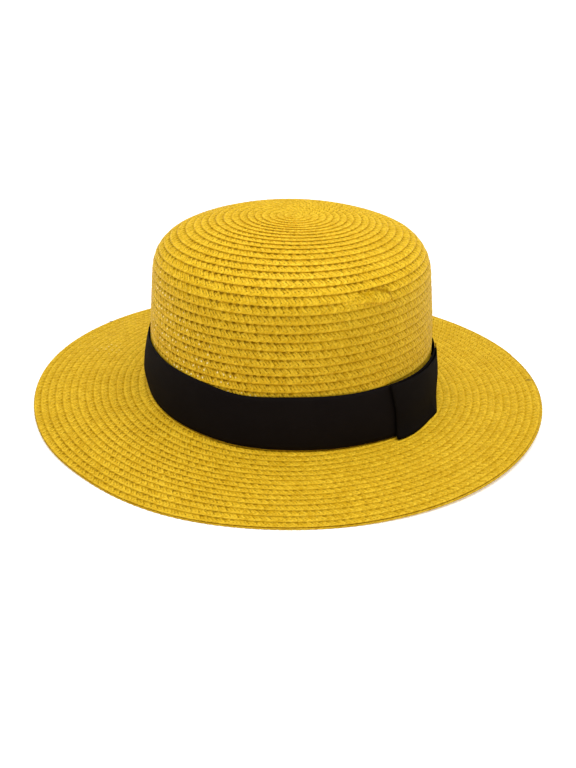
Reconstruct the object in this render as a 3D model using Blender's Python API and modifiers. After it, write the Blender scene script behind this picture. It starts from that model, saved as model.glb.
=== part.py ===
"""A straw hat with a low round crown, a flat brim and a black ribbon band.

The hat stands on its brim: Z is up, the floor is Z = 0 and the front is -Y.
The head oval is long along Y.  Everything is in metres.
"""
import math

import bmesh
import bpy

COLLECTION = "straw_hat"

# Head oval and crown
HEAD_RADIUS = 0.0930        # mean outer radius where the crown meets the brim
HEAD_OVAL = 0.038           # share by which the oval is longer front to back
CROWN_HEIGHT = 0.1110       # from the brim's top at the crown to the tip
CROWN_WALL = 0.0020         # straw thickness of the crown
TIP_LEAN = 0.0044           # the tip's rise at the head radius, towards TIP_LEAN_AT
TIP_LEAN_AT = math.radians(-74)

# Brim
BRIM_WIDTH = 0.0747         # from the crown's foot to the rim, seen from above
BRIM_WALL = 0.0017          # straw thickness of the brim
BRIM_FALL = 0.0055          # from the brim's top at the crown down to the rim's top
RIM_LIFT = 0.0035           # how far the rim rises at the two sides
RIM_REST = 0.12             # share of the rim's wave that lies flat front and back

# Seat of the crown on the brim, sewn a little out of level
SEAT_LEAN = 0.0050          # right side lower, left side higher
SEAT_TWIST = 0.0016         # front right and back left lower
SEAT_SAG = 0.0003           # the two sides lower than front and back

# Ribbon and its keeper
RIBBON_HEIGHT = 0.0338
RIBBON_THICK = 0.0012        # ribbon with its turned-in edges
KEEPER_LENGTH = 0.0820      # around the band
KEEPER_THICK = 0.0034        # four layers of ribbon folded flat
KEEPER_AT = math.radians(-12)   # the keeper's middle
KEEPER_RISE = 0.0004        # how far the keeper stands above the ribbon's top edge
KEEPER_ROUND = 0.0008       # rounding of its folded edges

CLEARANCE = 0.0003          # between pieces that lie against each other

# The crown's outer profile: shares of the head radius and of the crown height
CROWN_PROFILE = (
    # out, up
    (0.000, 1.000),
    (0.160, 1.000),
    (0.320, 0.997),
    (0.440, 0.990),
    (0.532, 0.981),
    (0.687, 0.946),
    (0.790, 0.913),
    (0.834, 0.894),
    (0.895, 0.852),
    (0.942, 0.796),
    (0.966, 0.735),
    (0.974, 0.669),
    (0.980, 0.580),
    (0.987, 0.470),
    (0.995, 0.320),
    (0.999, 0.220),
    (1.001, 0.110),
    (1.000, 0.000),
)

# The brim's top: shares of the brim width and of its fall
BRIM_PROFILE = (
    # out, down
    (0.00, 0.00),
    (0.07, 0.20),
    (0.14, 0.33),
    (0.22, 0.43),
    (0.38, 0.55),
    (0.56, 0.67),
    (0.72, 0.80),
    (0.85, 0.93),
    (0.94, 1.00),
    (1.00, 1.00),
)

STEPS = 72                  # facets around the head

STRAW = ("straw", (0.80, 0.50, 0.035, 1.0), 0.62)
RIBBON = ("ribbon", (0.008, 0.007, 0.006, 1.0), 0.80)


def clear_scene():
    for obj in list(bpy.data.objects):
        bpy.data.objects.remove(obj, do_unlink=True)


def material(spec):
    name, colour, rough = spec
    mat = bpy.data.materials.get(name) or bpy.data.materials.new(name)
    mat.use_nodes = True
    shader = mat.node_tree.nodes["Principled BSDF"]
    shader.inputs["Base Color"].default_value = colour
    shader.inputs["Roughness"].default_value = rough
    shader.inputs["Metallic"].default_value = 0.0
    mat.diffuse_color = colour
    return mat


def lerp_table(table, share, column_in=0, column_out=1):
    """Straight interpolation in a table of shares."""
    rows = sorted(table, key=lambda row: row[column_in])
    if share <= rows[0][column_in]:
        return rows[0][column_out]
    for low, high in zip(rows, rows[1:]):
        if share <= high[column_in]:
            span = high[column_in] - low[column_in]
            part = (share - low[column_in]) / span if span else 0.0
            return low[column_out] + part * (high[column_out] - low[column_out])
    return rows[-1][column_out]


# ---- the hat's plan and heights -------------------------------------------

def oval(angle):
    """The head oval's radius as a share of the mean radius."""
    return 1.0 - HEAD_OVAL * math.cos(2.0 * angle)


def oval_normal(angle):
    """Outward direction across the head oval."""
    share = oval(angle)
    slope = 2.0 * HEAD_OVAL * math.sin(2.0 * angle)
    nx = share * math.cos(angle) + slope * math.sin(angle)
    ny = share * math.sin(angle) - slope * math.cos(angle)
    size = math.hypot(nx, ny)
    return nx / size, ny / size


def base_height():
    """Mean height of the brim's top where the crown stands on it."""
    return BRIM_WALL + BRIM_FALL


def seat(angle):
    """How far the crown's foot lies above or below its mean height."""
    return (-SEAT_LEAN * math.cos(angle)
            - SEAT_TWIST * math.sin(2.0 * angle)
            - SEAT_SAG * math.cos(2.0 * angle))


def rim_height(angle):
    """Height of the rim's top: flat on the floor front and back."""
    wave = (math.cos(angle) ** 2 - RIM_REST) / (1.0 - RIM_REST)
    return BRIM_WALL + RIM_LIFT * max(0.0, wave)


def seat_share(up):
    """1 beside the ribbon, fading to 0 at the crown's shoulder."""
    shoulder = 0.9 * CROWN_HEIGHT
    fade = (up - RIBBON_HEIGHT) / (shoulder - RIBBON_HEIGHT)
    return 1.0 - min(1.0, max(0.0, fade))


def crown_point(radius, up, angle, proud=0.0):
    """A point of the crown, with proud as a distance out from its wall."""
    nx, ny = oval_normal(angle)
    wide = radius * oval(angle)
    share = seat_share(up)
    lean = TIP_LEAN * math.cos(angle - TIP_LEAN_AT) * radius / HEAD_RADIUS
    z = base_height() + up + share * seat(angle) + (1.0 - share) * lean
    return (wide * math.cos(angle) + proud * nx,
            wide * math.sin(angle) + proud * ny, z)


def brim_point(out, angle):
    """A point of the brim's top, out from the crown's foot."""
    nx, ny = oval_normal(angle)
    foot = HEAD_RADIUS * oval(angle)
    fall = lerp_table(BRIM_PROFILE, out / BRIM_WIDTH)
    root = base_height() + seat(angle)
    z = root + (rim_height(angle) - root) * fall
    return (foot * math.cos(angle) + out * nx,
            foot * math.sin(angle) + out * ny, z)


# ---- modelling helpers ------------------------------------------------------

def turned(name, profile, steps):
    """An open surface turned around Z from (radius, height) pairs."""
    mesh = bpy.data.meshes.new(name)
    line = bmesh.new()
    points = [line.verts.new((radius, 0.0, up)) for radius, up in profile]
    for one, two in zip(points, points[1:]):
        line.edges.new((one, two))
    line.to_mesh(mesh)
    line.free()
    obj = bpy.data.objects.new(name, mesh)
    bpy.context.scene.collection.objects.link(obj)
    screw = obj.modifiers.new("turn", "SCREW")
    screw.axis = "Z"
    screw.angle = math.tau
    screw.steps = steps
    screw.render_steps = steps
    screw.use_merge_vertices = True
    screw.merge_threshold = 0.00005
    bpy.context.view_layer.update()
    shape = obj.evaluated_get(bpy.context.evaluated_depsgraph_get())
    turned_mesh = bpy.data.meshes.new_from_object(shape)
    obj.modifiers.clear()
    obj.data = turned_mesh
    turned_mesh.name = name
    bpy.data.meshes.remove(mesh)
    return obj


def reshape(obj, rule):
    """Move each point of a turned surface by rule(radius, height, angle)."""
    for vertex in obj.data.vertices:
        x, y, z = vertex.co
        vertex.co = rule(math.hypot(x, y), z, math.atan2(y, x))
    obj.data.update()


def thicken(obj, wall):
    """Give an open surface its thickness, inwards from the modelled face."""
    shell = obj.modifiers.new("wall", "SOLIDIFY")
    shell.thickness = wall
    shell.offset = -1.0
    shell.use_even_offset = True
    shell.use_rim = True
    return shell


def finish(obj, group, mat):
    obj.data.materials.clear()
    obj.data.materials.append(mat)
    obj.data.shade_smooth()
    obj.data.set_sharp_from_angle(angle=math.radians(40))
    for owner in list(obj.users_collection):
        owner.objects.unlink(obj)
    group.objects.link(obj)
    return obj


# ---- the pieces -------------------------------------------------------------

def make_crown(group, mat):
    foot = CLEARANCE / CROWN_HEIGHT
    profile = [(out * HEAD_RADIUS, max(up, foot) * CROWN_HEIGHT)
               for out, up in CROWN_PROFILE]
    crown = turned("crown", profile, STEPS)
    reshape(crown, lambda radius, up, angle: crown_point(radius, up, angle))
    thicken(crown, CROWN_WALL)
    return finish(crown, group, mat)


def make_brim(group, mat):
    """The ring under the crown's wall and out to the rim."""
    profile = [(HEAD_RADIUS - CROWN_WALL, 0.0)]
    profile += [(HEAD_RADIUS + out * BRIM_WIDTH, 0.0) for out, _ in BRIM_PROFILE]
    brim = turned("brim", profile, STEPS)
    reshape(brim, lambda radius, up, angle: brim_point(radius - HEAD_RADIUS, angle))
    thicken(brim, BRIM_WALL)
    return finish(brim, group, mat)


def wall_radius(up):
    """The crown's outer radius at a height above its foot."""
    return HEAD_RADIUS * lerp_table(CROWN_PROFILE, up / CROWN_HEIGHT, 1, 0)


def band_foot(proud, angle):
    """Height above the crown's foot that clears the brim out to proud."""
    root = base_height() + seat(angle)
    return CLEARANCE + max(0.0, brim_point(proud, angle)[2] - root)


def make_ribbon(group, mat):
    proud = CLEARANCE + RIBBON_THICK
    levels = [RIBBON_HEIGHT * share for share in (1.0, 0.65, 0.33, 0.0)]

    def rule(radius, share_up, angle):
        up = share_up + band_foot(proud, angle)
        return crown_point(wall_radius(up), up, angle, proud)

    band = turned("ribbon_band", [(HEAD_RADIUS, up) for up in levels], STEPS)
    reshape(band, rule)
    thicken(band, RIBBON_THICK)
    return finish(band, group, mat)


def make_keeper(group, mat):
    """A short flat tab of folded ribbon bent around the band."""
    proud = 2.0 * CLEARANCE + RIBBON_THICK + KEEPER_THICK
    sweep = KEEPER_LENGTH / (HEAD_RADIUS + proud)
    bm = bmesh.new()
    bmesh.ops.create_grid(bm, x_segments=22, y_segments=3, size=0.5)
    for vertex in bm.verts:
        along, across = vertex.co.x, vertex.co.y + 0.5
        angle = KEEPER_AT + along * sweep
        foot = band_foot(proud, angle)
        top = RIBBON_HEIGHT + KEEPER_RISE + CLEARANCE
        up = foot + (top - foot) * across
        vertex.co = crown_point(wall_radius(up), up, angle, proud)
    mesh = bpy.data.meshes.new("band_keeper")
    bm.normal_update()
    bm.to_mesh(mesh)
    bm.free()
    keeper = bpy.data.objects.new("band_keeper", mesh)
    bpy.context.scene.collection.objects.link(keeper)
    thicken(keeper, KEEPER_THICK)
    edge = keeper.modifiers.new("folds", "BEVEL")
    edge.width = min(KEEPER_ROUND, 0.4 * KEEPER_THICK)
    edge.segments = 2
    edge.limit_method = "ANGLE"
    edge.angle_limit = math.radians(50)
    return finish(keeper, group, mat)


def main():
    clear_scene()
    group = bpy.data.collections.new(COLLECTION)
    bpy.context.scene.collection.children.link(group)
    straw = material(STRAW)
    ribbon = material(RIBBON)
    make_crown(group, straw)
    make_brim(group, straw)
    make_ribbon(group, ribbon)
    make_keeper(group, ribbon)


main()
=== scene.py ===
import math

import bpy
import numpy as np
from mathutils import Matrix, Vector


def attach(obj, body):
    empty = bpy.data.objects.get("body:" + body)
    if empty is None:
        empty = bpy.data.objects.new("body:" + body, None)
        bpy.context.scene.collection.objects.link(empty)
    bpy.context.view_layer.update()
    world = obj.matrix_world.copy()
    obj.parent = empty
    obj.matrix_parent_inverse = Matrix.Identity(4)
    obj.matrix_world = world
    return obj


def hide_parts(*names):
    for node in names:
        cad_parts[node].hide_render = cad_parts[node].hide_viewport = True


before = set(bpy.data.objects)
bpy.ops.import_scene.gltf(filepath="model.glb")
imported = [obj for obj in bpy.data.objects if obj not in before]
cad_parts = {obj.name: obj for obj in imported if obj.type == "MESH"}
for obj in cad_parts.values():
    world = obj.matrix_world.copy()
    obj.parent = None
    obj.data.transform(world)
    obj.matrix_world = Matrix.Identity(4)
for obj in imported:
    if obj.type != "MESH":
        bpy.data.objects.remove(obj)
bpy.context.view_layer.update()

TAU = 2.0 * math.pi
MM = 0.001

# ---- sizes, as the solids have them ----------------------------------------
HEAD_RADIUS = 0.0930
HEAD_OVAL = 0.038
CROWN_HEIGHT = 0.1110
TIP_LEAN = 0.0044
TIP_LEAN_AT = math.radians(-74)
BRIM_WIDTH = 0.0747
BRIM_WALL = 0.0017
BRIM_FALL = 0.0055
RIM_LIFT = 0.0035
RIM_REST = 0.12
SEAT_LEAN = 0.0050
SEAT_TWIST = 0.0016
SEAT_SAG = 0.0003
RIBBON_HEIGHT = 0.0338
BASE = BRIM_WALL + BRIM_FALL

CROWN_PROFILE = np.array((
    (0.000, 1.000), (0.160, 1.000), (0.320, 0.997), (0.440, 0.990),
    (0.532, 0.981), (0.687, 0.946), (0.790, 0.913), (0.834, 0.894),
    (0.895, 0.852), (0.942, 0.796), (0.966, 0.735), (0.974, 0.669),
    (0.980, 0.580), (0.987, 0.470), (0.995, 0.320), (0.999, 0.220),
    (1.001, 0.110), (1.000, 0.000)))
BRIM_PROFILE = np.array((
    (0.00, 0.00), (0.07, 0.20), (0.14, 0.33), (0.22, 0.43), (0.38, 0.55),
    (0.56, 0.67), (0.72, 0.80), (0.85, 0.93), (0.94, 1.00), (1.00, 1.00)))

# ---- camera: the photograph's angle, from just left of the wearer's front ----
VIEW_TURN = math.radians(11.2)
VIEW_UP = math.radians(25.5)
VIEW_ROLL = math.radians(1.74)
VIEW_FAR = 0.740
FRAME_W, FRAME_H = 576, 768
FOCAL_PX = 1127.57
AXIS_PX = (289.3, 378.1)
SENSOR = 24.0


def make_camera():
    cam = bpy.data.cameras.new("photo_camera")
    cam.sensor_fit = "VERTICAL"
    cam.sensor_height = SENSOR
    cam.lens = SENSOR * FOCAL_PX / FRAME_H
    cam.shift_x = (FRAME_W / 2 - AXIS_PX[0]) / FRAME_H
    cam.shift_y = (AXIS_PX[1] - FRAME_H / 2) / FRAME_H
    cam.clip_start, cam.clip_end = 0.05, 30.0
    back = Vector((math.cos(VIEW_UP) * math.sin(VIEW_TURN),
                   -math.cos(VIEW_UP) * math.cos(VIEW_TURN), math.sin(VIEW_UP)))
    right = Vector((math.cos(VIEW_TURN), math.sin(VIEW_TURN), 0.0))
    up = back.cross(right)
    turn = Matrix((right, up, back)).transposed()
    turn = turn @ Matrix.Rotation(VIEW_ROLL, 3, "Z")
    obj = bpy.data.objects.new("photo_camera", cam)
    bpy.context.scene.collection.objects.link(obj)
    place = turn.to_4x4()
    place.translation = Vector((0.0, 0.0, BASE)) + VIEW_FAR * back
    obj.matrix_world = place
    bpy.context.scene.camera = obj


make_camera()


# ---- the hat's shape, for arrays of points -----------------------------------
def smooth_table(table, count):
    """Dense points on a soft curve through a table's rows."""
    t = np.concatenate(([0.0], np.cumsum(np.hypot(*np.diff(table, axis=0).T) + 1e-9)))
    slope = np.gradient(table, t, axis=0)
    out = np.linspace(0.0, t[-1], count)
    i = np.clip(np.searchsorted(t, out, side="right") - 1, 0, len(t) - 2)
    span = (t[i + 1] - t[i])[:, None]
    u = ((out - t[i]) / (t[i + 1] - t[i]))[:, None]
    h00, h10 = 2 * u**3 - 3 * u**2 + 1, u**3 - 2 * u**2 + u
    h01, h11 = -2 * u**3 + 3 * u**2, u**3 - u**2
    return (h00 * table[i] + h10 * span * slope[i]
            + h01 * table[i + 1] + h11 * span * slope[i + 1])


_prof = smooth_table(CROWN_PROFILE * (HEAD_RADIUS, CROWN_HEIGHT), 3000)
_prof[:, 0] = np.maximum(_prof[:, 0], 0.0)
PROF_S = np.concatenate(([0.0], np.cumsum(np.hypot(*np.diff(_prof, axis=0).T))))
PROF_R, PROF_Z = _prof[:, 0], _prof[:, 1]
_tr, _tz = np.gradient(PROF_R, PROF_S), np.gradient(PROF_Z, PROF_S)
PROF_NR, PROF_NZ = -_tz / np.hypot(_tr, _tz), _tr / np.hypot(_tr, _tz)
CROWN_ARC = PROF_S[-1]


def near(a, degrees, width):
    """1 in a direction, falling off either side."""
    apart = np.angle(np.exp(1j * (a - math.radians(degrees)))) / math.radians(width)
    return np.exp(-apart * apart)


def oval(a):
    return 1.0 - HEAD_OVAL * np.cos(2.0 * a)


def oval_normal(a):
    share, slope = oval(a), 2.0 * HEAD_OVAL * np.sin(2.0 * a)
    nx = share * np.cos(a) + slope * np.sin(a)
    ny = share * np.sin(a) - slope * np.cos(a)
    size = np.hypot(nx, ny)
    return nx / size, ny / size


def seat(a):
    """How the crown sits out of level on the brim."""
    return (-SEAT_LEAN * np.cos(a) - SEAT_TWIST * np.sin(2.0 * a)
            - SEAT_SAG * np.cos(2.0 * a))


def seat_share(up):
    """The seat's lean dies out towards the tip."""
    fade = (up - RIBBON_HEIGHT) / (0.9 * CROWN_HEIGHT - RIBBON_HEIGHT)
    fade = np.clip(fade, 0.0, 1.0)
    return 1.0 - fade


def crown_at(s, a, off):
    """Points at arc length s from the tip, angle a, off out from the wall."""
    r, up = np.interp(s, PROF_S, PROF_R), np.interp(s, PROF_S, PROF_Z)
    # the wearer's left side swells a little towards the ribbon
    low = np.clip((0.082 - up) / 0.036, 0.0, 1.0)
    low = low * low * (3.0 - 2.0 * low)
    off = off + 0.0018 * low * np.maximum(0.0, np.cos(a - 0.09)) ** 1.5
    nr, nz = np.interp(s, PROF_S, PROF_NR), np.interp(s, PROF_S, PROF_NZ)
    nx, ny = oval_normal(a)
    share = seat_share(up)
    lean = TIP_LEAN * np.cos(a - TIP_LEAN_AT) * r / HEAD_RADIUS
    wide = r * oval(a)
    x = wide * np.cos(a) + off * nr * nx
    y = wide * np.sin(a) + off * nr * ny
    z = BASE + up + share * seat(a) + (1.0 - share) * lean + off * nz
    return np.stack((x, y, z), -1)


def wall_at(up, a, off):
    """Points beside the crown's wall at a height above its foot."""
    s = np.interp(-up, -PROF_Z, PROF_S)
    return crown_at(s, a, off)


def rim_height(a):
    """The rim lifts at the two sides and rests at front and back."""
    wave = (np.cos(a) ** 2 - RIM_REST) / (1.0 - RIM_REST)
    return BRIM_WALL + RIM_LIFT * np.maximum(0.0, wave)


_fall = smooth_table(BRIM_PROFILE, 600)


# where the rim is worn narrower: direction and reach in degrees, how much in metres
RIM_WEAR = ((-151.0, 20.0, 0.0011), (-121.0, 9.0, 0.0007), (-66.0, 18.0, 0.0006),
            (-99.0, 12.0, -0.0013))


def brim_at(d, a, off):
    """Points at distance d from the crown, angle a, off up from the brim's top face."""
    nx, ny = oval_normal(a)
    foot = HEAD_RADIUS * oval(a)
    fall = np.interp(d / BRIM_WIDTH, _fall[:, 0], _fall[:, 1])
    root = BASE + seat(a)
    z = root + (rim_height(a) - root) * fall + off
    # worn a little: narrower on one diagonal and here and there, lower at the back left
    d = d - 0.0009 * (0.5 - 0.5 * np.sin(2.0 * a)) * d / BRIM_WIDTH
    worn = sum(cut * near(a, degrees, reach) for degrees, reach, cut in RIM_WEAR)
    d = d - worn * np.clip((d / BRIM_WIDTH - 0.75) / 0.25, 0.0, 1.0)
    z = z - 0.0012 * fall * np.maximum(0.0, np.cos(a - math.radians(168.0))) ** 2
    return np.stack((foot * np.cos(a) + d * nx, foot * np.sin(a) + d * ny, z), -1)


# ---- braid: one strip, each turn lapped over the next ------------------------
PITCH = 0.00215             # one strand of the braid's edge; every second one sits higher
CUTS = 2.5                  # points along each strand
TUCK = 0.22                 # share of a row hidden under the row before it
FOLD = 0.60                 # where the strands turn back, as a share of the row
SLANT = 1.9                 # strands passed from the row's side to its fold, per row width
ROW_WIDTH = 0.0049          # of a full row
NOTCH, GAPE = 0.030, 0.045  # how far a strand's turn cuts into the row's edge, tight and loose
TRACE = 400                 # points per turn when a row's length is measured

# how far a row's outer edge stands off the row below, at a slack of 1
CROWN_LIFT = 0.00032
SPLICE_LIFT = 0.00030
BRIM_LIFT = 0.00015
RIM_ROW_LIFT = 0.00010

# across a row, over its top and back below: share of the visible row, height in mm,
# strand height in mm (None below, where it stays flat however loose the sewing is)
ROW_RING = (
    (-TUCK, -0.10, 0.00), (0.05, -0.16, 0.12), (0.20, -0.02, 0.20), (0.35, 0.08, 0.22),
    (0.50, 0.13, 0.22), (0.65, 0.16, 0.20), (0.79, 0.18, 0.12), (0.90, 0.18, 0.09),
    (1.00, -0.06, 0.05), (0.96, -0.62, None), (-TUCK, -0.74, None))
NOTCHED_FROM = 0.90         # share of the row from which its edge is notched


def crown_slack(s, a):
    """How loosely the crown's rows are sewn: loosest at the left front of the wall."""
    wall = np.clip((s - 0.096) / 0.012, 0.0, 1.0)
    tip = 0.42 + 0.42 * np.clip(s / 0.028, 0.0, 1.0) + 0.30 * near(a, -90.0, 52.0)
    return tip * (1.0 - wall) + wall * (0.60 + 0.62 * near(a, -108.0, 42.0))


def brim_slack(d, a):
    """How loosely the brim's rows are sewn: loosest at the front."""
    return 0.54 + 0.44 * near(a, -108.0, 58.0) + 0.0 * d


def wobble(turn_angle, amount, seed):
    """A slow hand-sewn drift of a row's edge."""
    out = np.zeros_like(turn_angle)
    for i, (freq, share) in enumerate(((0.73, 0.5), (1.9, 0.3), (4.3, 0.2), (9.1, 0.12))):
        out += share * np.sin(freq * turn_angle + 1.7 * i + seed)
    return amount * out


def braid(name, place, edge, first, last, lift, zero, slack, tone, sink, cuts=CUTS,
          drift=0.00010, seed=0.0, thin=1.0):
    """A lapped strip along edge(angle) between two total angles.

    place(distance, angle, off) gives points; edge gives the row's outer edge;
    zero is the direction in which the total angle starts; slack(distance,
    direction) says how loose the sewing is, tone(distance, direction) scales the
    straw's colour, mostly as painted light and shade; sink is how deep the strip
    lies at each distance.
    """
    count = int((last - first) / TAU * TRACE) + TRACE
    angle = np.linspace(first, last, count)
    mid = place(0.5 * (edge(angle) + edge(np.maximum(angle - TAU, 0.0))), angle, 0.0)
    run = np.concatenate(([0.0], np.cumsum(np.linalg.norm(np.diff(mid, axis=0), axis=1))))
    steps = max(8, int(run[-1] / (PITCH / cuts)))
    along = np.linspace(0.0, run[-1], steps + 1)
    angle = np.interp(along, run, angle)
    loops = along / PITCH
    outer = edge(angle) + wobble(angle, drift, seed)
    before = np.maximum(angle - TAU, 0.0)
    inner = edge(before) + wobble(before, drift, seed)
    inner = np.where(angle < TAU, edge(np.zeros(1))[0], inner)
    width = np.maximum(outer - inner, 0.0002)
    wave = TAU * loops
    loose = slack(outer, zero - angle)
    notch = NOTCH * (0.5 + 0.5 * np.cos(wave))
    notch = notch + GAPE * loose * (0.5 + 0.5 * np.cos(0.5 * wave))
    rise = lift * loose * np.minimum(width / ROW_WIDTH, 1.0)
    base = np.interp(outer, *sink)
    points = []
    for share, height, strand in ROW_RING:
        v = np.full_like(angle, share)
        if share >= NOTCHED_FROM:
            v = v - notch
        if strand is None:
            relief = height
        else:
            crest = wave - TAU * (0.5 + SLANT * abs(share - FOLD))
            relief = height + strand * (0.45 * np.cos(crest) + 0.55 * np.cos(0.5 * crest))
            relief = loose * relief
        off = base + rise * v + thin * MM * relief
        points.append(place(inner + v * width, angle, off))
    ring = len(ROW_RING)
    verts = np.stack(points, 1).reshape(-1, 3)
    i = np.arange(steps)[:, None] * ring
    j = np.arange(ring)[None, :]
    k = (j + 1) % ring
    quads = np.stack((i + j, i + k, i + ring + k, i + ring + j), -1).reshape(-1, 4)
    u = np.repeat(loops[:, None], ring, 1)
    v = np.tile([row[0] for row in ROW_RING], (steps + 1, 1))
    v_next = np.roll(v, -1, 1)
    uv = np.stack((np.stack((u[:-1], v[:-1]), -1),
                   np.stack((u[:-1], v_next[:-1]), -1),
                   np.stack((u[1:], v_next[1:]), -1),
                   np.stack((u[1:], v[1:]), -1)), 2).reshape(-1, 4, 2)
    uv = uv.reshape(-1, 2)
    ends = [list(range(ring))[::-1], [steps * ring + n for n in range(ring)]]
    both = np.stack((loose, tone(outer, zero - angle)), -1)
    sewn = np.stack((both[:-1], both[:-1], both[1:], both[1:]), 1)[:, None]
    sewn = np.broadcast_to(sewn, (steps, ring, 4, 2)).reshape(-1, 2)
    return mesh_piece(name, verts, quads, uv, ends, sewn)


def mesh_piece(name, verts, quads, uv, caps=(), sewn=None):
    """A smooth mesh from arrays, with caps as extra faces."""
    mesh = bpy.data.meshes.new(name)
    cap_loops = sum(len(c) for c in caps)
    loops = np.concatenate([quads.reshape(-1)] + [np.array(c) for c in caps]).astype(np.int32)
    starts = list(range(0, quads.size, 4))
    at = quads.size
    for cap in caps:
        starts.append(at)
        at += len(cap)
    mesh.vertices.add(len(verts))
    mesh.vertices.foreach_set("co", verts.astype(np.float32).reshape(-1))
    mesh.loops.add(len(loops))
    mesh.loops.foreach_set("vertex_index", loops)
    mesh.polygons.add(len(starts))
    mesh.polygons.foreach_set("loop_start", np.array(starts, np.int32))
    mesh.update(calc_edges=True)
    layer = mesh.uv_layers.new(name="braid")
    full = np.concatenate((uv, np.zeros((cap_loops, 2)))).astype(np.float32)
    layer.data.foreach_set("uv", full.reshape(-1))
    if sewn is not None:
        layer = mesh.uv_layers.new(name="sewing")
        full = np.concatenate((sewn, np.ones((cap_loops, 2)))).astype(np.float32)
        layer.data.foreach_set("uv", full.reshape(-1))
    mesh.polygons.foreach_set("use_smooth", np.ones(len(starts), bool))
    mesh.validate()
    obj = bpy.data.objects.new(name, mesh)
    bpy.context.scene.collection.objects.link(obj)
    return obj


# ---- materials ----------------------------------------------------------------
class Nodes:
    """Short calls for building a node tree."""

    def __init__(self, name):
        self.mat = bpy.data.materials.new(name)
        self.mat.use_nodes = True
        self.tree = self.mat.node_tree
        self.shader = self.tree.nodes["Principled BSDF"]

    def add(self, kind, **values):
        node = self.tree.nodes.new(kind)
        for key, value in values.items():
            setattr(node, key, value)
        return node

    def put(self, socket, value):
        if isinstance(value, bpy.types.NodeSocket):
            self.tree.links.new(value, socket)
        else:
            socket.default_value = value

    def shade(self, **values):
        """Set the shader's inputs, with _ for each space in a name."""
        for key, value in values.items():
            self.put(self.shader.inputs[key.replace("_", " ")], value)

    def math(self, op, a, b=0.0, c=0.0, clamp=False):
        node = self.add("ShaderNodeMath", operation=op, use_clamp=clamp)
        for socket, value in zip(node.inputs, (a, b, c)):
            self.put(socket, value)
        return node.outputs[0]

    def times(self, *parts, clamp=False):
        out = parts[0]
        for part in parts[1:]:
            out = self.math("MULTIPLY", out, part, clamp=clamp)
        return out

    def plus(self, *parts):
        out = parts[0]
        for part in parts[1:]:
            out = self.math("ADD", out, part)
        return out

    def less(self, one, two, clamp=False):
        return self.math("SUBTRACT", one, two, clamp=clamp)

    def line(self, base, slope, value):
        """base + slope * value."""
        return self.math("MULTIPLY_ADD", value, slope, base)

    def odd(self, value):
        """1 on every second whole number, 0 on the others."""
        return self.times(self.math("FRACT", self.times(value, 0.5)), 2.0)

    def span(self, value, low, high, to_low=0.0, to_high=1.0):
        node = self.add("ShaderNodeMapRange", interpolation_type="SMOOTHSTEP")
        for name, number in (("Value", value), ("From Min", low), ("From Max", high),
                             ("To Min", to_low), ("To Max", to_high)):
            self.put(node.inputs[name], number)
        return node.outputs["Result"]

    def mix(self, share, one, two):
        node = self.add("ShaderNodeMix", data_type="RGBA")
        for number, value in ((0, share), (6, one), (7, two)):
            self.put(node.inputs[number], value)
        return node.outputs[2]

    def noise(self, where, scale, detail=2.0):
        node = self.add("ShaderNodeTexNoise")
        self.put(node.inputs["Scale"], scale)
        self.put(node.inputs["Detail"], detail)
        self.put(node.inputs["Roughness"], 0.5)
        self.put(node.inputs["Vector"], where)
        return node.outputs["Fac"]

    def lot(self, number, step, row):
        """A value drawn for each whole number."""
        return self.noise(self.vector(self.times(number, step), row), 1.0, 0.0)

    def vector(self, x, y, z=0.0):
        node = self.add("ShaderNodeCombineXYZ")
        for socket, value in zip(node.inputs, (x, y, z)):
            self.put(socket, value)
        return node.outputs[0]

    def split(self, vector):
        node = self.add("ShaderNodeSeparateXYZ")
        self.put(node.inputs[0], vector)
        return node.outputs[0], node.outputs[1], node.outputs[2]

    def vector_math(self, op, vector, other=None, output=0):
        node = self.add("ShaderNodeVectorMath", operation=op)
        self.put(node.inputs[0], vector)
        if other is not None:
            self.put(node.inputs[1], tuple(float(c) for c in other))
        return node.outputs[output]

    def scaled(self, vector, factor):
        node = self.add("ShaderNodeVectorMath", operation="SCALE")
        self.put(node.inputs[0], vector)
        self.put(node.inputs["Scale"], factor)
        return node.outputs[0]

    def distance(self, vector, point):
        return self.vector_math("DISTANCE", vector, point, "Value")

    def layer(self, name):
        return self.split(self.add("ShaderNodeUVMap", uv_map=name).outputs[0])[:2]

    def place(self):
        return self.add("ShaderNodeTexCoord").outputs["Object"]

    def bump(self, height, strength, distance):
        node = self.add("ShaderNodeBump")
        for name, value in (("Strength", strength), ("Distance", distance), ("Height", height)):
            self.put(node.inputs[name], value)
        return node.outputs[0]


LIGHT_STRAW = (0.985, 0.632, 0.027, 1.0)
# painted highlight: a pale colour for the painted sheen
PAINTED_SHEEN_STRAW = (1.0, 0.695, 0.062, 1.0)
DEEP_STRAW = (0.725, 0.414, 0.004, 1.0)
# the next two colours are mostly painted shade, in seams, pits, gaps and at row edges; the first
# also darkens specks in the straw
DARK_STRAW_AND_SHADE = (0.330, 0.160, 0.000, 1.0)
PIT_SHADE_STRAW = (0.120, 0.050, 0.000, 1.0)
# painted light: pale spots and a glow that stand in for light through pinholes
PINHOLE_PAINTED_LIGHT = (1.0, 0.93, 0.45, 1.0)
PINHOLE_PAINTED_GLOW = (1.0, 0.88, 0.42, 1.0)
DARK_TUCK_MARK = (0.150, 0.110, 0.020, 1.0)
PAIR_MM = 4.3               # two strands along a row
ROW_MM = 4.9                # one row across

# how strongly each painted shade covers the straw: at least, and more where the sewing opens
EDGE_SHADE = (0.06, 0.08)   # beside a row's edges, with looseness
SEAM_SHADE = (0.72, 0.18)   # between strands, with gaping
PIT_SHADE = (0.46, 0.34)    # in pits, with gaping
GAP_SHADE = (0.22, 0.18)    # under the row before, with looseness
DASH_SHADE = (0.08, 0.48, 0.24)     # at each second strand, with looseness and gaping

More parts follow.
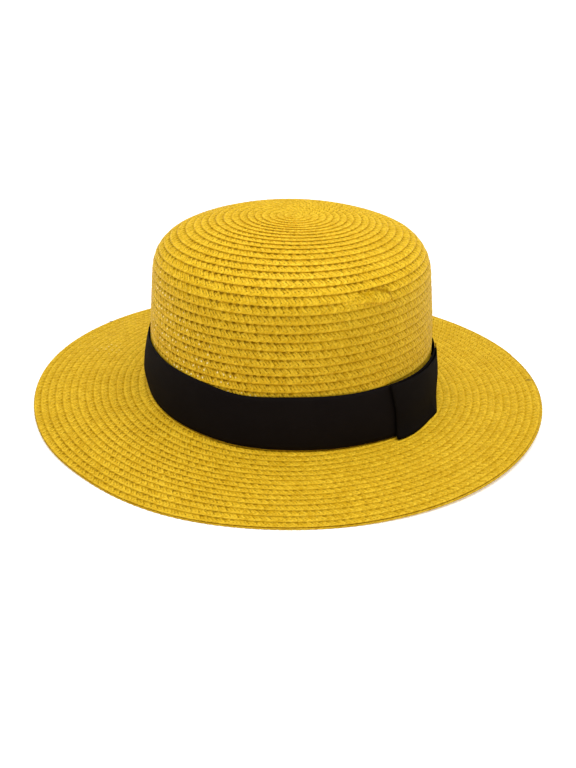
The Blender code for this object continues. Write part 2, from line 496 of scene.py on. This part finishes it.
# where the painted pinhole light goes: a slanted patch of the wall, and a spot of the brim at its
# far left
PINHOLE_LIGHT_FACE = math.radians(-140.0)
PINHOLE_LIGHT_SLANT = 0.775
PINHOLE_LIGHT_ON_BRIM = (0.0420, math.radians(172.3))

# painted shadow that curls round the end of the new length on the shoulder:
# share along it, distance from the tip in metres, direction in degrees
SPLICE_END_SHADOW = ((0.0, 0.3, 0.6, 0.8, 1.0), (0.0930, 0.0939, 0.0951, 0.0964, 0.0985),
          (-47.5, -45.0, -42.3, -40.5, -39.1))


def dark_mark_and_splice_shadow():
    """Points, reaches, strengths and colours of the dark mark at the rim and the painted shadow
    round the splice's end.
    """
    # a dark mark where the braid's end is tucked in at the rim
    out = [(brim_at(0.0708, math.radians(17.6), 0.0), 0.0030, 0.55, DARK_TUCK_MARK)]
    for t in np.linspace(0.0, 1.0, 8):
        s, a = np.interp(t, SPLICE_END_SHADOW[0], SPLICE_END_SHADOW[1]), np.interp(t, SPLICE_END_SHADOW[0], SPLICE_END_SHADOW[2])
        out.append((crown_at(s, math.radians(a), 0.0003), 0.0018, 0.60 + 0.32 * t, DARK_STRAW_AND_SHADE))
    return out


def paint_pinhole_light(n, u, v, where, pair_lot):
    """Painted light: pale spots where light would come through pinholes in the loosest rows of wall
    and brim; the mesh has no holes.
    """
    x, y, z = n.split(where)
    flat = n.vector_math("NORMALIZE", n.vector(x, y))
    faced = (math.cos(PINHOLE_LIGHT_FACE), math.sin(PINHOLE_LIGHT_FACE), 0.0)
    towards = n.vector_math("DOT_PRODUCT", flat, faced, "Value")
    slanted = n.line(z, PINHOLE_LIGHT_SLANT, x)
    thin = n.times(n.span(towards, 0.30, 0.60), n.span(z, 0.034, 0.042),
                   n.span(slanted, 0.048, 0.034))
    far_brim = n.distance(where, brim_at(*PINHOLE_LIGHT_ON_BRIM, 0.0))
    thin = n.math("MAXIMUM", thin, n.span(far_brim, 0.0130, 0.0060, 0.0, 0.75))
    pair = n.line(0.5, 0.5, u)
    astray = n.line(-0.45, 0.9, n.lot(n.math("FLOOR", pair), 6.31, 2.2))
    along = n.times(n.less(n.less(n.math("FRACT", pair), 0.5), astray), PAIR_MM)
    across = n.times(n.less(v, n.line(0.20, 0.40, pair_lot)), ROW_MM)
    apart = n.math("SQRT", n.plus(n.times(along, along), n.times(across, across)))
    size = n.span(n.lot(n.math("ROUND", n.times(u, 0.5)), 9.37, 0.5), 0.20, 0.62, -0.10, 0.60)
    pinhole_glint = n.times(n.less(size, n.times(apart, 0.8), clamp=True), 1.7)
    return n.times(pinhole_glint, thin, clamp=True)


def straw_material():
    """Sewn braid: herringbone strands, painted shade at row edges, seams and pits, a painted sheen
    and painted pinhole light.
    """
    n = Nodes("straw_braid")
    u, v = n.layer("braid")
    # the sewing layer's second value scales the straw's colour: painted light and shade by region
    slack, tone_and_painted_light = n.layer("sewing")
    where = n.place()
    loose, gaping = n.span(slack, 0.40, 1.20), n.span(slack, 0.75, 1.30)

    # strands run in a herringbone and turn back near the row's edge
    away = n.math("ABSOLUTE", n.less(v, FOLD))
    bent = n.noise(n.vector(n.times(u, 0.37), n.times(v, 1.3)), 1.0, 1.0)
    run = n.plus(u, n.times(bent, 1.1), n.times(away, -SLANT))
    seam_id = n.math("ROUND", run)
    from_seam = n.math("ABSOLUTE", n.less(run, seam_id))
    upper = n.math("GREATER_THAN", v, FOLD)
    uneven = n.lot(seam_id, 5.13, n.times(upper, 7.7))
    in_weave = n.times(n.span(v, 0.02, 0.12), n.span(v, 0.80, 0.56, 0.15, 1.0))
    seam = n.times(n.span(from_seam, 0.27, 0.04), in_weave)
    # painted shade in the seams between strands, stronger every second one
    seam_dark = n.times(seam, n.line(0.34, 0.36, n.odd(seam_id)),
                        n.span(uneven, 0.28, 0.60, 0.35, 1.15))
    # here and there a strand gapes and leaves a pit, painted dark as shade
    worn = n.noise(n.vector(n.times(u, 0.9), n.times(v, 4.0)), 1.0, 1.0)
    pit = n.times(seam, n.span(worn, 0.50, 0.66), n.span(v, 0.08, 0.20), n.span(v, 0.84, 0.66))

    # under the edge of the row before: a painted shade line, deeper every second strand
    pair = n.times(u, 0.5)
    along = n.math("ABSOLUTE", n.less(n.math("FRACT", pair), 0.5))
    pair_lot = n.lot(n.math("FLOOR", pair), 3.17, 4.4)
    dash = n.times(n.span(along, 0.36, 0.16), n.span(v, 0.36, 0.12), n.span(pair_lot, 0.30, 0.55))
    under_edge_shade = n.span(v, 0.24, 0.02)
    # painted shade: broad below the edge of the row before, and again at the row's own outer edge
    shade = n.plus(n.span(v, 0.55, 0.10), n.span(v, 0.78, 1.0))

    # each strand has its own tint
    strand_id = n.math("FLOOR", run)
    tint = n.lot(strand_id, 3.71, n.times(upper, 2.3))
    bright = n.plus(n.times(n.odd(strand_id), 0.30), n.span(tint, 0.25, 0.75))
    colour = n.mix(n.times(bright, 0.85, clamp=True), DEEP_STRAW, LIGHT_STRAW)
    colour = n.mix(n.times(n.span(n.noise(where, 38.0, 3.0), 0.40, 0.70), 0.30), colour, DEEP_STRAW)

    # painted shade at row edges, seams, pits and under the row before; specks; a painted sheen;
    # painted pinhole light; and fibres
    least, by_loose, by_gaping = DASH_SHADE
    opened = n.plus(n.times(loose, by_loose), n.times(gaping, by_gaping))
    pinhole_glint = paint_pinhole_light(n, u, v, where, pair_lot)
    for share, other in (
            (n.times(shade, n.line(*EDGE_SHADE, loose)), DARK_STRAW_AND_SHADE),
            (n.times(seam_dark, n.line(*SEAM_SHADE, gaping)), DARK_STRAW_AND_SHADE),
            (n.times(pit, n.line(*PIT_SHADE, gaping)), PIT_SHADE_STRAW),
            (n.times(under_edge_shade, n.line(*GAP_SHADE, loose)), DARK_STRAW_AND_SHADE),
            (n.times(dash, n.plus(least, opened)), PIT_SHADE_STRAW),
            (n.times(n.span(n.noise(where, 700.0), 0.62, 0.76), 0.22), DARK_STRAW_AND_SHADE),
            (n.times(n.span(n.noise(where, 1150.0, 1.0), 0.46, 0.68), 0.26), DARK_STRAW_AND_SHADE),
            # painted sheen: pale flecks painted in as highlights
            (n.times(n.span(n.noise(where, 1000.0, 1.0), 0.46, 0.30), 0.46), PAINTED_SHEEN_STRAW),
            (pinhole_glint, PINHOLE_PAINTED_LIGHT)):
        colour = n.mix(share, colour, other)
    # a dark mark at the rim, and painted shadow round the splice's end
    for point, reach, share, mark_colour in dark_mark_and_splice_shadow():
        mark_mask = n.span(n.distance(where, point), reach, 0.25 * reach)
        colour = n.mix(n.times(mark_mask, share), colour, mark_colour)

    deep = n.plus(seam_dark, under_edge_shade)
    open_face = n.less(1.0, n.plus(deep, n.plus(dash, pit)), clamp=True)
    fibre = n.noise(n.vector(n.times(run, 26.0), n.times(v, 4.0)), 1.0)
    height = n.less(n.times(fibre, 0.12), n.plus(seam_dark, n.plus(pit, dash)))
    # the pinhole spots also glow a little: painted light
    n.shade(Base_Color=n.scaled(colour, tone_and_painted_light), Emission_Color=PINHOLE_PAINTED_GLOW,
            Emission_Strength=n.times(pinhole_glint, 0.14), Normal=n.bump(height, 0.55, 0.0005),
            Roughness=n.line(0.48, 0.24, fibre), Specular_IOR_Level=n.line(0.02, 0.10, open_face))
    return n.mat


RIB_MM, THREAD_MM = 0.62, 0.40
RIBBON_DARK = (0.0052, 0.0038, 0.0038, 1.0)
RIBBON_WORN = (0.0066, 0.0049, 0.0046, 1.0)
RIBBON_RIB = (0.0092, 0.0070, 0.0068, 1.0)


def ribbon_material(name, depth):
    """Black grosgrain with fine upright ribs; depth scales its colour, as painted light and shade.
    """
    n = Nodes(name)
    u, v = n.layer("braid")
    where = n.place()
    rib = n.math("ABSOLUTE", n.less(n.math("FRACT", n.times(u, 1000.0 / RIB_MM)), 0.5))
    thread = n.math("ABSOLUTE", n.less(n.math("FRACT", n.times(v, 1000.0 / THREAD_MM)), 0.5))
    rib_top = n.span(rib, 0.45, 0.12)
    cloudy = n.span(n.noise(where, 60.0, 3.0), 0.35, 0.70)
    base = n.mix(cloudy, RIBBON_DARK, RIBBON_WORN)
    base = n.mix(n.times(rib_top, 0.45), base, RIBBON_RIB)
    height = n.plus(rib_top, n.times(thread, 0.3), n.times(n.noise(where, 2600.0), 0.35))
    n.shade(Base_Color=n.scaled(base, depth), Normal=n.bump(height, 0.5, 0.00012),
            Roughness=0.85, Specular_IOR_Level=0.05)
    return n.mat


STRAW = straw_material()
# painted light and shade: the ribbon a little lighter and the keeper darker, copies of one cloth
RIBBON = ribbon_material("black_grosgrain", 1.04)
KEEPER_SHADED_CLOTH = ribbon_material("black_grosgrain_keeper_shaded", 0.75)


def dress(obj, mat, slot, *nodes):
    obj.data.materials.clear()
    obj.data.materials.append(mat)
    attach(obj, "root")
    if nodes:
        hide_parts(*nodes)


# ---- crown and brim ------------------------------------------------------------
CROWN_PITCH = 0.00482
CROWN_START = math.radians(47.0)
CROWN_ROWS = CROWN_ARC / CROWN_PITCH
CROWN_SINK = ((0.0, 0.060, 0.090, 0.2), (-0.00095, -0.00095, -0.00065, -0.00065))
# painted light and shade round the crown's wall: direction in degrees, colour scale
WALL_TONE = ((-180.0, -145.0, -105.0, -80.0, -58.0, -30.0, 180.0),
             (0.97, 0.99, 0.92, 0.895, 0.825, 0.850, 0.93))
# painted light over the brim, lightest by the ribbon to offset its shade: distance from the crown
# in metres, colour scale
BRIM_TONE = ((0.0, 0.004, 0.008, 0.012, 0.018, 0.028, 0.045, 0.075),
             (1.03, 1.03, 1.01, 0.97, 0.92, 0.885, 0.87, 0.865))


def degrees_of(a):
    """An angle in degrees from -180 to 180."""
    return np.degrees(np.angle(np.exp(1j * a)))


def crown_tone(s, a):
    """Painted light and shade: lighter on the tip, more so at its front and less at its back, and
    on the wall by direction.
    """
    wall = np.clip((s - 0.092) / 0.016, 0.0, 1.0)
    tip = np.interp(s, (0.030, 0.092), (1.02, 0.975))
    tip = tip + 0.060 * near(a, -90.0, 55.0) - 0.025 * near(a, 90.0, 70.0)
    return (1.0 - wall) * tip + wall * np.interp(degrees_of(a), *WALL_TONE)


def brim_tone(d, a):
    """Painted light: lighter by the ribbon, to offset the shade it casts, and all along the front.
    """
    off_front_dimming = (1.0 - near(a, -100.0, 50.0)) * np.clip(d / 0.045, 0.0, 1.0)
    return np.interp(d, *BRIM_TONE) * (1.0 - 0.045 * off_front_dimming)


def row_lean(s, a):
    """The crown's rows lie a little askew to its sewn-on foot."""
    t = s / 0.130
    lean = ((0.0020 - 0.0054 * t) * np.cos(a) + (0.0013 - 0.0029 * t) * np.sin(a))
    return lean * s / (s + 0.006) * np.clip((CROWN_ARC - s) / (CROWN_ARC - 0.146), 0.0, 1.0)


# how far the rows run off an even spacing: distance from the tip, drift, both in mm
ROW_DRIFT = ((0.0, 38.0, 66.0, 88.0, 116.0, 146.0), (0.0, -0.8, -1.1, 0.3, 1.0, 0.0))


def crown_edge(turn):
    s = CROWN_PITCH * turn / TAU
    a = CROWN_START - turn
    sway = np.sin(math.pi * np.clip(s / 0.12, 0.0, 1.0)) * np.cos((turn - 10.0 * TAU) / 6.0)
    s = s + 0.00030 * sway
    s = s + MM * np.interp(s / MM, *ROW_DRIFT)
    s = s - 0.0014 * np.maximum(0.0, -np.sin(a)) ** 2 * np.exp(-((s - 0.042) / 0.022) ** 2)
    s = np.minimum(s, CROWN_ARC)
    return np.minimum(s + row_lean(s, a), CROWN_ARC - 0.0004)


def crown_place(s, turn, off):
    return crown_at(s, CROWN_START - turn, off)


def brim_place(d, turn, off):
    return brim_at(d, BRIM_END - turn, off)


for piece, one, two, cuts in (("crown_tip", 0.02, 14.0, CUTS),
                              ("crown_shoulder", 14.0, 23.0, CUTS),
                              ("crown_wall", 23.0, 31.6, CUTS),
                              ("crown_foot", 31.6, CROWN_ROWS + 0.9, 2)):
    dress(braid(piece, crown_place, crown_edge, one * TAU, two * TAU, CROWN_LIFT, CROWN_START,
                crown_slack, crown_tone, CROWN_SINK, cuts=cuts), STRAW, "straw", "crown")

# where a new length of braid starts: its rounded end lies on the shoulder, front right
SPLICE = (19.9 * TAU, (-66.0, -58.0, -48.0, -44.0, -41.0, -39.5, -38.6),
          (20.62, 20.68, 20.86, 20.97, 20.98, 20.86, 20.50),
          (19.90, 19.85, 19.71, 19.66, 19.74, 19.95, 20.42))


def splice_edge(turn):
    low, at, outer_rows, inner_rows = SPLICE
    a = degrees_of(CROWN_START - turn)
    outer = crown_edge(turn + (np.interp(a, at, outer_rows) - 20.0) * TAU)
    inner = crown_edge(turn + (np.interp(a, at, inner_rows) - 19.0) * TAU)
    return np.where(turn > low, outer, inner)


def splice_place(s, turn, off):
    a = degrees_of(CROWN_START - turn)
    return crown_at(s, CROWN_START - turn, off - 0.0019 * np.clip((-46.0 - a) / 20.0, 0.0, 1.0))


def splice_slack(s, a):
    return 0.72 + 0.0 * s


SPLICE_FROM = CROWN_START + math.radians(38.6) + 20.0 * TAU
SPLICE_TO = CROWN_START + math.radians(66.0) + 20.0 * TAU
SPLICE_SINK = ((0.0, 1.0), (0.00042, 0.00042))
dress(braid("splice_end", splice_place, splice_edge, SPLICE_FROM, SPLICE_TO, SPLICE_LIFT,
            CROWN_START, splice_slack, crown_tone, SPLICE_SINK, drift=0.0),
      STRAW, "straw", "crown")

BRIM_START = -0.0018
BRIM_PITCH = 0.0048
BRIM_ROWS = 16.49
END_AT = math.radians(33.0)          # where the braid's end shows at the rim
BRIM_END = END_AT + (BRIM_ROWS % 1.0) * TAU
BRIM_SINK = ((0.0, 1.0), (-0.00070, -0.00070))

# how far the brim's rows run off an even spacing: direction in degrees, drift in rows
BRIM_DRIFT = ((-180.0, -145.0, -120.0, -95.0, -79.0, -63.0, -47.0, -30.0, 0.0, 40.0, 180.0),
              (0.0, 0.0, -0.22, -0.26, -0.40, -0.54, -0.30, 0.04, 0.18, 0.10, 0.0))


def brim_edge(turn):
    a = degrees_of(BRIM_END - turn)
    drift = np.interp(a, *BRIM_DRIFT)
    drift = drift * np.interp(turn / TAU, (0.0, 1.0, 12.0, 15.4), (0.0, 1.0, 1.0, 0.3))
    return np.minimum(BRIM_START + BRIM_PITCH * (turn / TAU + drift), BRIM_WIDTH - 0.0002)


for piece, one, two in (("brim_inner", 0.0, 6.2), ("brim_middle", 6.2, 11.6),
                        ("brim_outer", 11.6, BRIM_ROWS)):
    dress(braid(piece, brim_place, brim_edge, one * TAU, two * TAU, BRIM_LIFT, BRIM_END,
                brim_slack, brim_tone, BRIM_SINK, thin=0.65), STRAW, "straw", "brim")


def rim_edge(turn):
    """The under-row: a last turn sewn below, just proud of the rim."""
    return np.where(turn < TAU, BRIM_WIDTH - 0.0046, BRIM_WIDTH + 0.0001) + 0.0 * turn


def rim_place(d, turn, off):
    return brim_at(d, END_AT - turn, off)


def rim_tone(d, a):
    return 0.68 + 0.0 * d


RIM_ROW_SINK = ((0.0, 1.0), (-0.00135, -0.00135))
dress(braid("rim_row", rim_place, rim_edge, TAU, 2.0 * TAU - 0.004, RIM_ROW_LIFT, END_AT,
            brim_slack, rim_tone, RIM_ROW_SINK, seed=2.0, thin=0.5), STRAW, "straw", "brim")


def make_stray_straw():
    """One split straw's end stands out of the rim at the back left."""
    line = bpy.data.curves.new("stray_straw", "CURVE")
    line.dimensions = "3D"
    line.bevel_depth = 0.00022
    line.bevel_resolution = 1
    line.use_fill_caps = True
    spline = line.splines.new("POLY")
    # distance from the crown, direction in degrees, height off the brim, thickness
    route = ((0.0724, 153.2, -0.0005, 1.0), (0.0738, 153.7, -0.0002, 1.0),
             (0.0746, 154.0, 0.0001, 0.8), (0.0749, 154.2, 0.0006, 0.5))
    spline.points.add(len(route) - 1)
    for point, (d, degrees, off, thick) in zip(spline.points, route):
        point.co = (*map(float, brim_at(d, math.radians(degrees), off)), 1.0)
        point.radius = thick
    obj = bpy.data.objects.new("stray_straw", line)
    bpy.context.scene.collection.objects.link(obj)
    n = Nodes("dry_straw")
    n.shade(Base_Color=(0.16, 0.10, 0.02, 1.0), Roughness=0.7)
    dress(obj, n.mat, "straw")


make_stray_straw()


# ---- ribbon --------------------------------------------------------------------
CLEARANCE = 0.0003
RIBBON_GAP = 0.0007         # from the wall to the ribbon's inner face
RIBBON_CLOTH = 0.0006
RIBBON_EDGE = 0.0009        # over which an edge is rounded


def cinch(up_share):
    """The band draws in at its upper edge."""
    return 0.0005 * np.clip((up_share - 0.5) / 0.4, 0.0, 1.0)


def belly(a, up_share):
    """Ribbon and keeper both stand away a little low on the wearer's left."""
    return 0.0021 * near(a, 13.0, 13.0) * np.clip((1.25 - up_share) / 0.6, 0.0, 1.0)


def kick(a, up_share, reach, degrees, width):
    """The foot of ribbon or keeper kicks out, most in one direction."""
    return reach * near(a, degrees, width) * (1.0 - up_share) ** 2


BY_THE_KEEPER = (0.0028, -34.0, 13.0)
AT_THE_FRONT = (0.0012, -98.0, 14.0)


def ribbon_off(a, up_share):
    """How far the ribbon's outer face stands off the wall."""
    bulge = 0.0017 * near(a, -171.0, 24.0) * np.interp(
        up_share, (0.0, 0.08, 0.22, 0.5, 0.8, 1.0), (0.4, 0.9, 1.9, 1.4, 0.7, 0.0))
    kicks = kick(a, up_share, *BY_THE_KEEPER) + kick(a, up_share, *AT_THE_FRONT)
    ripple = 0.00018 * np.sin(5.0 * a + 1.3) + 0.00012 * np.sin(11.0 * a + 0.4)
    return (RIBBON_GAP + RIBBON_CLOTH + bulge + kicks + belly(a, up_share) + ripple
            - cinch(up_share))


def sheet_loop(name, outer, inner, u_len, v_len):
    """A thin closed loop of cloth between an outer and an inner grid of points."""
    rows, cols = outer.shape[:2]
    verts = np.concatenate((outer.reshape(-1, 3), inner.reshape(-1, 3)))
    n = rows * cols
    quads, uvs = [], []

    def uv_of(i, j):
        return (i / rows * u_len, j / (cols - 1) * v_len)

    for i in range(rows):
        ii = (i + 1) % rows
        for j in range(cols - 1):
            a, b, c, d = i * cols + j, ii * cols + j, ii * cols + j + 1, i * cols + j + 1
            box = [uv_of(i, j), uv_of(i + 1, j), uv_of(i + 1, j + 1), uv_of(i, j + 1)]
            quads += [(a, b, c, d), (n + d, n + c, n + b, n + a)]
            uvs += box + box[::-1]
        for j, way in ((0, 1), (cols - 1, -1)):
            a, b = i * cols + j, ii * cols + j
            side = [uv_of(i, j), uv_of(i, j), uv_of(i + 1, j), uv_of(i + 1, j)]
            quads.append((a, n + a, n + b, b)[::way])
            uvs += side[::way]
    return mesh_piece(name, verts, np.array(quads), np.array(uvs))


def girth(loop):
    """Length of a closed run of points."""
    return float(np.linalg.norm(np.roll(loop, -1, 0) - loop, axis=1).sum())


def make_ribbon():
    a = np.linspace(0.0, TAU, 361)[:-1]
    share = np.linspace(0.0, 1.0, 13)
    A, V = np.meshgrid(a, share, indexing="ij")
    up = CLEARANCE + 0.0002 + (RIBBON_HEIGHT - 0.0022 * near(A, -96.0, 13.0)) * V
    edge = np.minimum(np.minimum(V, 1.0 - V) * RIBBON_HEIGHT / RIBBON_EDGE, 1.0)
    off = ribbon_off(A, V)
    outer = wall_at(up, A, off - 0.00018 * (1.0 - edge) ** 2)
    inner = wall_at(up, A, off - RIBBON_CLOTH + 0.00012 * (1.0 - edge) ** 2)
    length = girth(outer[:, 6])
    ribbon = sheet_loop("ribbon", outer, inner, length, RIBBON_HEIGHT)
    dress(ribbon, RIBBON, "ribbon", "ribbon_band")


make_ribbon()

KEEPER_LENGTH = 0.0820
KEEPER_AT = math.radians(-12)
KEEPER_CLOTH = 0.0005
KEEPER_GAP = 0.0005         # from the ribbon to the loop's back
# how far its lower end kicks out: direction in degrees, share
KEEPER_FLARE = ((-40.0, -30.0, -24.0, -16.0, -9.0, -3.0, 3.0, 10.0),
                (0.30, 0.40, 0.48, 0.62, 0.92, 0.42, 0.0, 0.0))


def make_keeper():
    """A flattened loop of ribbon: front, folded sides and back."""
    half, depth = 0.5 * KEEPER_LENGTH, 0.0009
    steps_side, steps_fold = 44, 8
    path = []
    for t in np.linspace(-1.0, 1.0, steps_side):
        path.append((t * (half - depth), 2.0 * depth + 0.0005 * (1.0 - t ** 4), 1.0))
    for t in np.linspace(0.0, math.pi, steps_fold)[1:-1]:
        path.append((half - depth + depth * math.sin(t), depth + depth * math.cos(t), 0.5))
    for t in np.linspace(1.0, -1.0, steps_side):
        path.append((t * (half - depth), 0.0, 0.0))
    for t in np.linspace(0.0, math.pi, steps_fold)[1:-1]:
        path.append((-half + depth - depth * math.sin(t), depth - depth * math.cos(t),
                     min(1.0, t / 2.0)))
    path = np.array(path)
    share = np.linspace(0.0, 1.0, 23)
    nxt, prv = np.roll(path, -1, 0), np.roll(path, 1, 0)
    tang = nxt[:, :2] - prv[:, :2]
    tang /= np.linalg.norm(tang, axis=1)[:, None]
    normal = np.stack((-tang[:, 1], tang[:, 0]), 1)
    normal *= np.sign((normal * (path[:, :2] - (0.0, depth))).sum(1) + 1e-9)[:, None]
    out = []
    for layer in (0.0, -KEEPER_CLOTH):
        p = path[:, :2] + layer * normal
        s = p[:, 0][:, None] + 0.0 * share
        o = p[:, 1][:, None] + 0.0 * share
        V = share[None, :] + 0.0 * s
        slip = 0.0024 * (1.0 - 2.0 * V)
        # it runs a little further round on the wearer's front, where its end bends
        reach = (0.0050 - 0.0023 * np.sin(math.pi * V)) * np.clip(-s / half, 0.0, 1.0)
        A = KEEPER_AT + (s + slip - reach) / (HEAD_RADIUS + 0.004)
        front = path[:, 2][:, None]
        o = o * (1.0 - 0.70 * np.clip((s / half - 0.45) / 0.45, 0.0, 1.0))
        # the lower end kicks out, most towards the side
        side = np.interp(np.degrees(A), *KEEPER_FLARE)
        flare = 0.0046 * side * np.clip(1.0 - V / 0.30, 0.0, 1.0) ** 2
        off = (RIBBON_GAP + RIBBON_CLOTH + KEEPER_GAP + kick(A, V, *BY_THE_KEEPER) + o
               + front * flare + belly(A, V) - cinch(V))
        proud = 0.0007 * np.clip((4.0 - np.degrees(A)) / 6.0, 0.0, 1.0)
        up = CLEARANCE + 0.0003 - 0.0004 * front + (RIBBON_HEIGHT + proud) * V
        out.append(wall_at(up, A, off))
    outer, inner = out
    length = girth(outer[:, 11])
    keeper = sheet_loop("keeper", outer, inner, length, RIBBON_HEIGHT)
    dress(keeper, KEEPER_SHADED_CLOTH, "ribbon", "band_keeper")


make_keeper()


# ---- floor and light -----------------------------------------------------------
FLOOR_HALF = 15.0
FLOOR_GLOW = 0.30           # the photograph's ground shows no shadow
SKY_LIGHT = 0.42
SUN_LIGHT, SUN_SPREAD = 2.6, 55.0


def make_stage():
    mesh = bpy.data.meshes.new("floor")
    size = FLOOR_HALF
    mesh.from_pydata([(-size, -size, 0), (size, -size, 0), (size, size, 0), (-size, size, 0)],
                     [], [(0, 1, 2, 3)])
    floor = bpy.data.objects.new("floor", mesh)
    bpy.context.scene.collection.objects.link(floor)
    n = Nodes("pale_floor")
    n.shade(Base_Color=(0.97, 0.97, 0.97, 1.0), Roughness=1.0, Specular_IOR_Level=0.0,
            Emission_Color=(1.0, 1.0, 1.0, 1.0), Emission_Strength=FLOOR_GLOW)
    mesh.materials.append(n.mat)


def sun(name, towards, strength, spread):
    """A wide soft light, even over the whole floor."""
    light = bpy.data.lights.new(name, "SUN")
    light.energy = strength
    light.angle = math.radians(spread)
    obj = bpy.data.objects.new(name, light)
    bpy.context.scene.collection.objects.link(obj)
    obj.rotation_euler = Vector(towards).to_track_quat("-Z", "Y").to_euler()


make_stage()
world = bpy.data.worlds.new("studio")
world.use_nodes = True
world.node_tree.nodes["Background"].inputs[0].default_value = (1.0, 1.0, 1.0, 1.0)
world.node_tree.nodes["Background"].inputs[1].default_value = SKY_LIGHT
bpy.context.scene.world = world
bpy.context.scene.view_settings.view_transform = "Standard"
sun("overhead", (-0.06, 0.04, -1.0), SUN_LIGHT, SUN_SPREAD)
